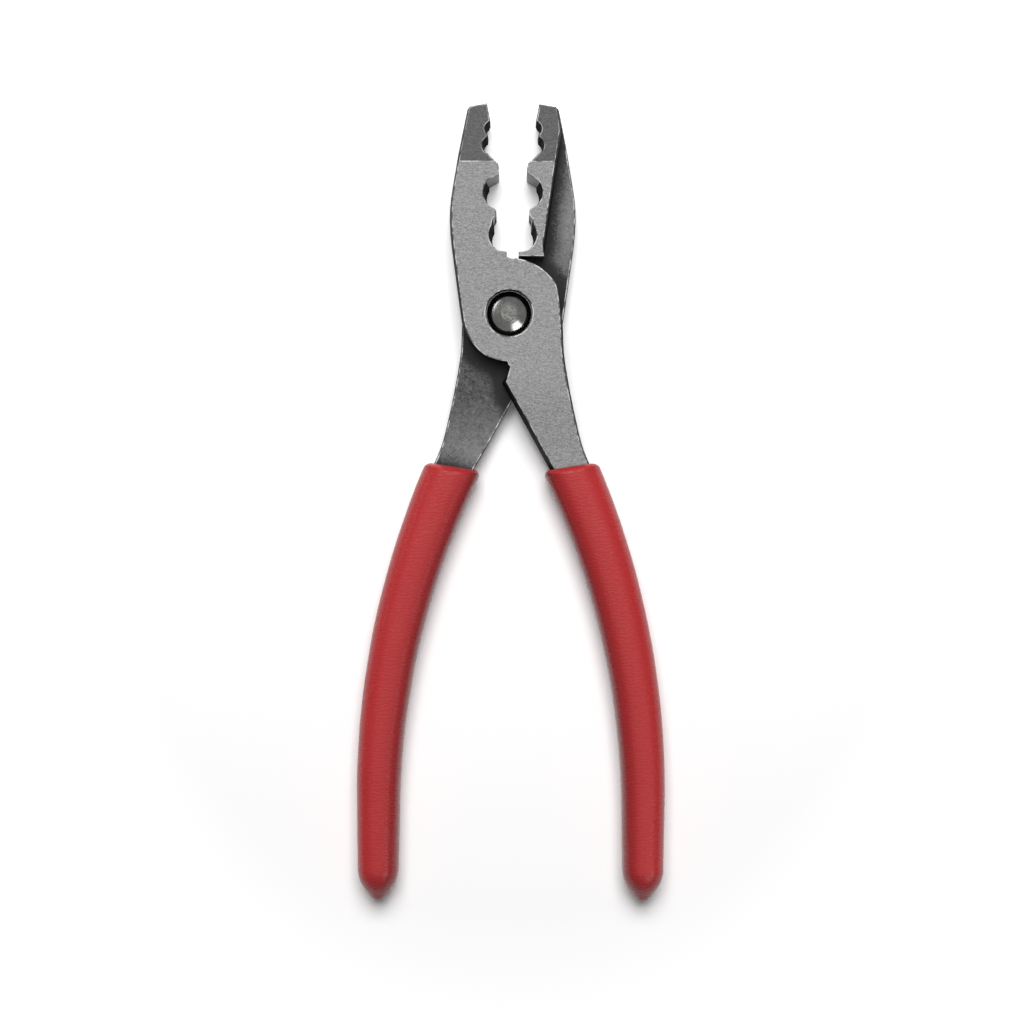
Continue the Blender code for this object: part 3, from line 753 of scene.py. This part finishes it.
def grip_sections(grips):
    """Sections from the bore's end over the rolled lip to the nose: (s, grow, scale, roundness)."""
    inner_lip = COAT - SNUG - grips.lip
    bore = [
        (between(TANG_LENGTH, inner_lip, i / BORE_STEPS), SNUG, 1, BORE_ROUNDNESS) for i in range(BORE_STEPS)
    ]
    turned_in, turned_out = [], []
    for share in (i / LIP_STEPS for i in range(LIP_STEPS + 1)):
        sine, cosine = math.sin(math.pi / 2 * share), math.cos(math.pi / 2 * share)
        turned_in.append((
            inner_lip * (1 - sine), SNUG + inner_lip * (1 - cosine), 1,
            between(BORE_ROUNDNESS, LIP_ROUNDNESS, share),
        ))
        turned_out.append((
            grips.lip * (1 - cosine), COAT - grips.lip * (1 - sine), 1,
            between(LIP_ROUNDNESS, OUTER_ROUNDNESS, share),
        ))
    shoulder = GRIP_LENGTH - NOSE
    sleeve = [
        (between(grips.lip, shoulder, i / grips.rings), COAT, 1, OUTER_ROUNDNESS)
        for i in range(1, grips.rings)
    ]
    nose = [
        (between(shoulder, GRIP_LENGTH, t), COAT, nose_share(t), between(OUTER_ROUNDNESS, NOSE_ROUNDNESS, t))
        for t in (i / NOSE_STEPS for i in range(NOSE_STEPS + 1))
    ]
    return bore + turned_in + turned_out[1:] + sleeve + nose


def bend(y):
    """How far the tang's ground and lap faces still are from their final level, at a height on the handle."""
    ground = (MIDDLE - TANG_HALF_THICKNESS) * (1 - eased(y - PIVOT.y, *GROUND_RAMP))
    lap = (MIDDLE + TANG_HALF_THICKNESS - LAP) * (1 - eased(y - PIVOT.y, *LAP_RAMP))
    return ground, lap


def squared(value, roundness):
    """A sine or cosine made fuller, for a section squarer than an ellipse."""
    return math.copysign(abs(value) ** (2 / roundness), value)


def grip_ring(section, side, sides, unevenness):
    """Points of one section of a grip; side is -1 on the left and 1 on the right."""
    s, grow, scale, roundness = section
    reach, y, turn = handle(s)
    lean = turn + (MOUTH_TILT - MOUTH_ANGLE) * max(0.0, 1 - s / MOUTH_BLEND) ** 2
    half_width = (tang_half_width(s) + grow) * scale / math.cos(turn - lean)
    hug = 1 - (grow - SNUG) / (COAT - SNUG)
    ground, lap = (hug * b for b in bend(y))
    half_height = (TANG_HALF_THICKNESS + grow) * scale + (ground - lap) / 2
    level = MIDDLE + side * (ground + lap) / 2
    points = []
    for i in range(sides):
        a = 2 * math.pi * i / sides
        aside = squared(math.cos(a), roundness) * half_width
        up = squared(math.sin(a), roundness) * half_height
        point = Vector((side * (reach - aside * math.cos(lean)), y - aside * math.sin(lean), level + up))
        if grow > COAT / 2:
            swell = noise.noise(point / SWELL) * unevenness
            middle = Vector((side * reach, y, MIDDLE))
            point += (point - middle).normalized() * (swell - unevenness)
        points.append(point)
    return points


class PLIERS_OT_vinyl_grips(bpy.types.Operator):
    """Loft both vinyl grips over their tangs, with a rolled mouth, a bowed sleeve and a pointed end"""

    bl_idname = "pliers.vinyl_grips"
    bl_label = "Vinyl Grips"

    def execute(self, context):
        grips = context.scene.pliers_grips
        vinyl = dipped_vinyl("dipped_red_vinyl", grips.vinyl, grips.vinyl_in_shade, PIVOT.y + GRIP_END, NOSE_SHADE_LENGTH)
        for node, body, side in (("left_grip", REAR_BODY, -1), ("right_grip", FRONT_BODY, 1)):
            bm = bmesh.new()
            loops = [
                [bm.verts.new(p) for p in grip_ring(section, side, grips.sides, grips.unevenness)]
                for section in grip_sections(grips)
            ]
            for first, second in zip(loops, loops[1:]):
                for i in range(grips.sides):
                    bm.faces.new((first[i - 1], first[i], second[i], second[i - 1]))
            bm.faces.new(loops[0])
            bm.faces.new(loops[-1])
            bmesh.ops.recalc_face_normals(bm, faces=bm.faces)
            for face in bm.faces:
                face.smooth = True
            show(f"{node}_vinyl", bm, [vinyl], body, "red_vinyl", node)
        return {"FINISHED"}


FLOOR_HALF_SIDE = 3.0
FLOOR_LEVEL = -0.05 * MM  # a hair under the tool that lies on it
JAWS_LIFT = (25 * MM, 85 * MM)  # the paper's lift grows between these, along Y
FAR_LIFT = (106 * MM, 400 * MM)  # and again between these, away from the middle
GLOW = Vector((0, 0.18, 0.98)).normalized()  # the middle of the glow overhead, which the flat steel mirrors
MATT_SHARE = 0.22  # of the glow, for surfaces that don't mirror it
CAMERA_OVER = (0.06 * MM, -2.35 * MM)  # the point that the camera looks straight down on
SENSOR_WIDTH = 36


def white_paper(rgb):
    """Seamless white paper: matt, lifted to white for the eye, most by the jaws and far off, so that only
    the shadow shows.
    """
    made, tree, shader = blank_material("white_studio_paper")
    path = add(tree, "ShaderNodeLightPath").outputs
    seen = add(
        tree, "ShaderNodeMath", {0: path["Is Camera Ray"], 1: path["Is Glossy Ray"]}, operation="MAXIMUM"
    ).outputs[0]
    place = add(tree, "ShaderNodeTexCoord").outputs["Object"]
    height = add(tree, "ShaderNodeSeparateXYZ", {0: place}).outputs[1]
    level = add(
        tree, "ShaderNodeMapRange",
        {"Value": height, "From Min": JAWS_LIFT[0], "From Max": JAWS_LIFT[1], "To Min": 0.07, "To Max": 0.24},
    ).outputs[0]
    distance = add(tree, "ShaderNodeVectorMath", {0: place}, operation="LENGTH").outputs["Value"]
    far = add(
        tree, "ShaderNodeMapRange", {"Value": distance, "From Min": FAR_LIFT[0], "From Max": FAR_LIFT[1]}
    ).outputs[0]
    both = add(tree, "ShaderNodeMath", {0: level, 1: far}, operation="ADD").outputs[0]
    lift = add(tree, "ShaderNodeMath", {0: seen, 1: both}, operation="MULTIPLY").outputs[0]
    feed(tree, shader, {
        "Base Color": (*rgb, 1), "Roughness": 0.9, "Specular IOR Level": 0.1,
        "Emission Color": WHITE, "Emission Strength": lift,
    })
    return made


def paper_floor(rgb):
    """The sheet of paper that the tool lies on."""
    bm = bmesh.new()
    sunk = Matrix.Translation((0, 0, FLOOR_LEVEL))
    bmesh.ops.create_grid(bm, x_segments=1, y_segments=1, size=FLOOR_HALF_SIDE, matrix=sunk)
    mesh = bpy.data.meshes.new("paper_floor")
    bm.to_mesh(mesh)
    bm.free()
    mesh.materials.append(white_paper(rgb))
    floor = bpy.data.objects.new("paper_floor", mesh)
    bpy.context.scene.collection.objects.link(floor)


def softbox(name, watts, size, place, target):
    """A rectangular area light aimed at a point."""
    data = bpy.data.lights.new(name, "AREA")
    data.shape = "RECTANGLE"
    data.energy = watts
    data.size, data.size_y = size
    made = bpy.data.objects.new(name, data)
    made.location = place
    made.rotation_euler = (Vector(target) - Vector(place)).to_track_quat("-Z", "Y").to_euler()
    bpy.context.scene.collection.objects.link(made)
    return made


def studio_world():
    """The white surround: a glow overhead and a pale horizon for the metal to mirror, a share of the glow for
    the rest, and plain white for the eye.
    """
    world = bpy.data.worlds.new("studio")
    world.use_nodes = True
    tree = world.node_tree
    sky = add(tree, "ShaderNodeTexCoord").outputs["Generated"]
    towards = add(
        tree, "ShaderNodeVectorMath", {0: sky, 1: GLOW}, operation="DOT_PRODUCT"
    ).outputs["Value"]
    glow = add(
        tree, "ShaderNodeMapRange",
        {"Value": towards, "From Min": 0.8, "From Max": 0.98, "To Min": 0.2, "To Max": 1.06},
    ).outputs[0]
    horizon = add(
        tree, "ShaderNodeMapRange", {"Value": towards, "From Min": 0.4, "From Max": 0.1, "To Max": 0.2}
    ).outputs[0]
    path = add(tree, "ShaderNodeLightPath").outputs
    share = add(
        tree, "ShaderNodeMath", {0: path["Is Glossy Ray"], 1: MATT_SHARE}, operation="MAXIMUM"
    ).outputs[0]
    light = add(tree, "ShaderNodeMath", {0: glow, 1: share}, operation="MULTIPLY").outputs[0]
    mirrored = add(
        tree, "ShaderNodeMath", {0: horizon, 1: path["Is Glossy Ray"], 2: light}, operation="MULTIPLY_ADD"
    ).outputs[0]
    strength = add(
        tree, "ShaderNodeMath", {0: mirrored, 1: path["Is Camera Ray"]}, operation="MAXIMUM"
    ).outputs[0]
    feed(tree, tree.nodes["Background"], {"Color": WHITE, "Strength": strength})
    return world


class PLIERS_OT_stage(bpy.types.Operator):
    """Lay the paper, hang the lights and set the camera straight above the tool"""

    bl_idname = "pliers.stage"
    bl_label = "Stage"

    def execute(self, context):
        scene, stage = context.scene, context.scene.pliers_stage
        paper_floor(stage.floor)
        key = softbox(
            "key_softbox", stage.key_light, size=(0.6, 0.6), place=(0, 0.47, 0.88), target=(0, 0, 0)
        )
        key.visible_glossy = False
        strip = softbox(
            "left_strip", stage.strip_light, size=(0.66, 0.035), place=(-0.52, 0.335, 0.37), target=PIVOT
        )
        glint = softbox(
            "rivet_glint", stage.glint_light, size=(0.34, 0.2), place=(0.29, -0.365, 0.49), target=PIVOT
        )
        strip.visible_diffuse = glint.visible_diffuse = False
        scene.world = studio_world()

        data = bpy.data.cameras.new("camera")
        data.lens = stage.lens
        data.sensor_width = SENSOR_WIDTH
        camera = bpy.data.objects.new("camera", data)
        camera.location = (*CAMERA_OVER, stage.camera_height)
        camera.rotation_euler = (0, 0, stage.roll)
        scene.collection.objects.link(camera)
        scene.camera = camera
        scene.view_settings.view_transform = "Standard"
        return {"FINISHED"}


class PLIERS_PT_sidebar(bpy.types.Panel):
    """The pieces of the pliers and their settings"""

    bl_label = "Connector Pliers"
    bl_space_type = "VIEW_3D"
    bl_region_type = "UI"
    bl_category = "Pliers"

    def draw(self, context):
        scene = context.scene
        for operator, group in (
            (PLIERS_OT_steel_halves, scene.pliers_steel),
            (PLIERS_OT_pivot_rivet, scene.pliers_rivet),
            (PLIERS_OT_vinyl_grips, scene.pliers_grips),
            (PLIERS_OT_stage, scene.pliers_stage),
        ):
            box = self.layout.box()
            box.operator(operator.bl_idname)
            for name in group.__annotations__:
                box.prop(group, name)


GROUPS = {
    "pliers_steel": PliersSteel,
    "pliers_rivet": PliersRivet,
    "pliers_grips": PliersGrips,
    "pliers_stage": PliersStage,
}
CLASSES = (
    *GROUPS.values(),
    PLIERS_OT_steel_halves,
    PLIERS_OT_pivot_rivet,
    PLIERS_OT_vinyl_grips,
    PLIERS_OT_stage,
    PLIERS_PT_sidebar,
)


def register():
    for cls in CLASSES:
        bpy.utils.register_class(cls)
    for name, group in GROUPS.items():
        setattr(bpy.types.Scene, name, PointerProperty(type=group))


def unregister():
    for name in GROUPS:
        delattr(bpy.types.Scene, name)
    for cls in reversed(CLASSES):
        bpy.utils.unregister_class(cls)


def main():
    register()
    bpy.ops.pliers.stage()
    bpy.ops.pliers.steel_halves()
    bpy.ops.pliers.pivot_rivet()
    bpy.ops.pliers.vinyl_grips()


if __name__ == "__main__":
    main()
